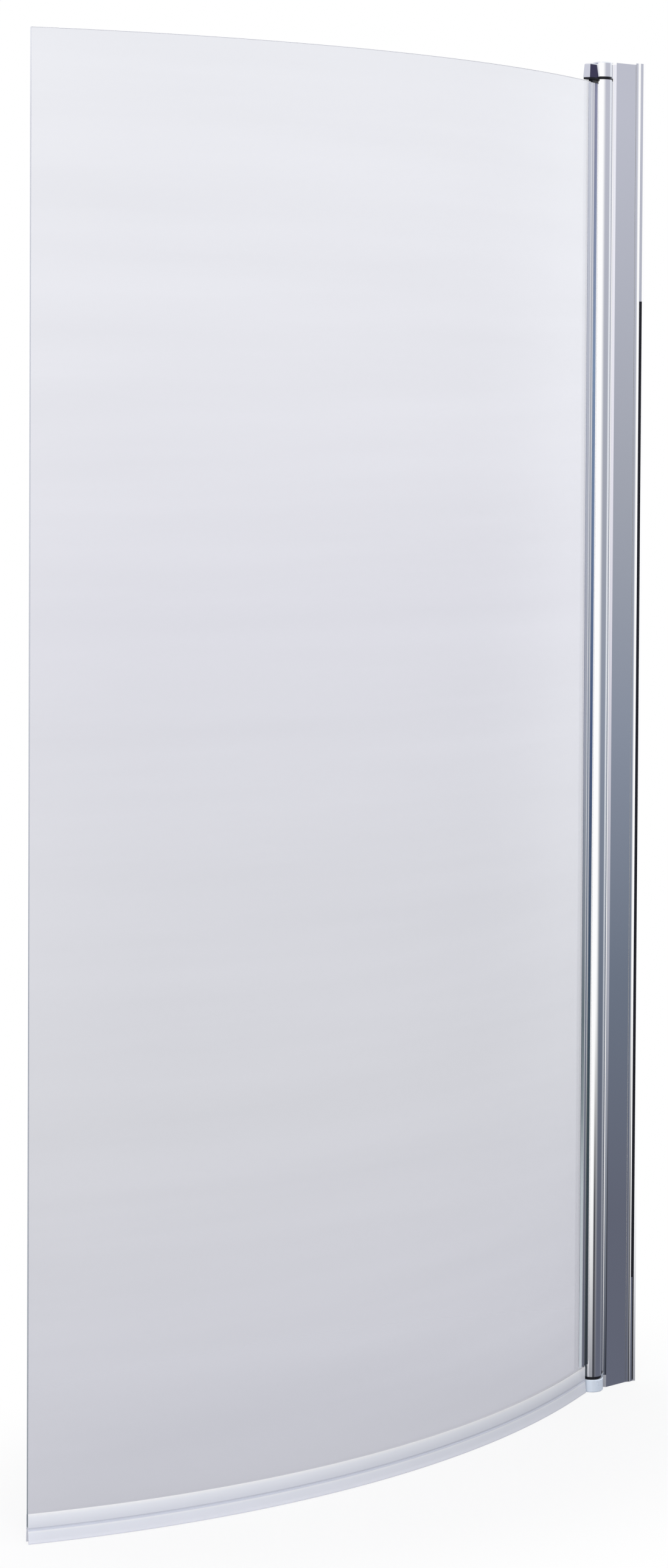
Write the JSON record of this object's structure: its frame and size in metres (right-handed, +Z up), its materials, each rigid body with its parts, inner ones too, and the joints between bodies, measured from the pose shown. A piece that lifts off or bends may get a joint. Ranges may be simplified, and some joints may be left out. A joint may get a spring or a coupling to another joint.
{
  "type": "bath screen",
  "caption": "Bath screen: a curved clear glass panel in a slim pivot tube that turns on a bright wall post, with a clear finned seal along its lower edge.",
  "frame": {"origin": "foot of the wall face, on the bath rim, level with the middle of the hinge post", "axes": "+X into the wall, +Y towards the bath, +Z up; the panel is closed, with the chord of its bend along -X"},
  "size_m": [0.8009, 0.1078, 1.4],
  "materials": {
    "bright_profile": "polished",
    "bright_cover": "polished",
    "bright_casting": "polished",
    "black_bracket": "satin black",
    "black_nylon": "moulded",
    "white_nylon": "moulded",
    "steel_pivot": "turned",
    "steel_fixing": "plain",
    "grey_cap": "moulded",
    "grey_seal": "soft",
    "clear_glass": "clear toughened",
    "clear_seal": "clear soft"
  },
  "bodies": {
    "wall_post": {"wall_channel": "bright_profile", "post_profile": "bright_profile", "post_top_cover": "bright_cover", "top_hinge_bracket": "black_bracket", "bottom_hinge_bracket": "bright_casting", "adjuster_screws": "steel_fixing", "adjuster_screw_caps": "grey_cap", "hinge_wiper_seal": "grey_seal", "top_pivot_bush": "white_nylon", "bottom_pivot_pin": "steel_pivot", "bottom_thrust_washer": "black_nylon", "bracket_screws": "steel_fixing"},
    "screen": {"pivot_profile": "bright_profile", "top_cap": "bright_casting", "top_cap_grub_screw": "steel_fixing", "top_pivot_spindle": "steel_pivot", "top_spindle_insert": "black_nylon", "bottom_pivot_bush": "black_nylon", "channel_top_plug": "black_nylon", "glazing_gasket": "grey_seal", "glass_panel": "clear_glass", "bottom_seal": "clear_seal"}
  },
  "joints": [
    {"name": "screen_pivot", "type": "hinge", "parent": "wall_post", "child": "screen", "pos_m": [-0.0583, -0.0063, 0], "axis": [0, 0, 1], "range_deg": [-90, 80]}
  ]
}
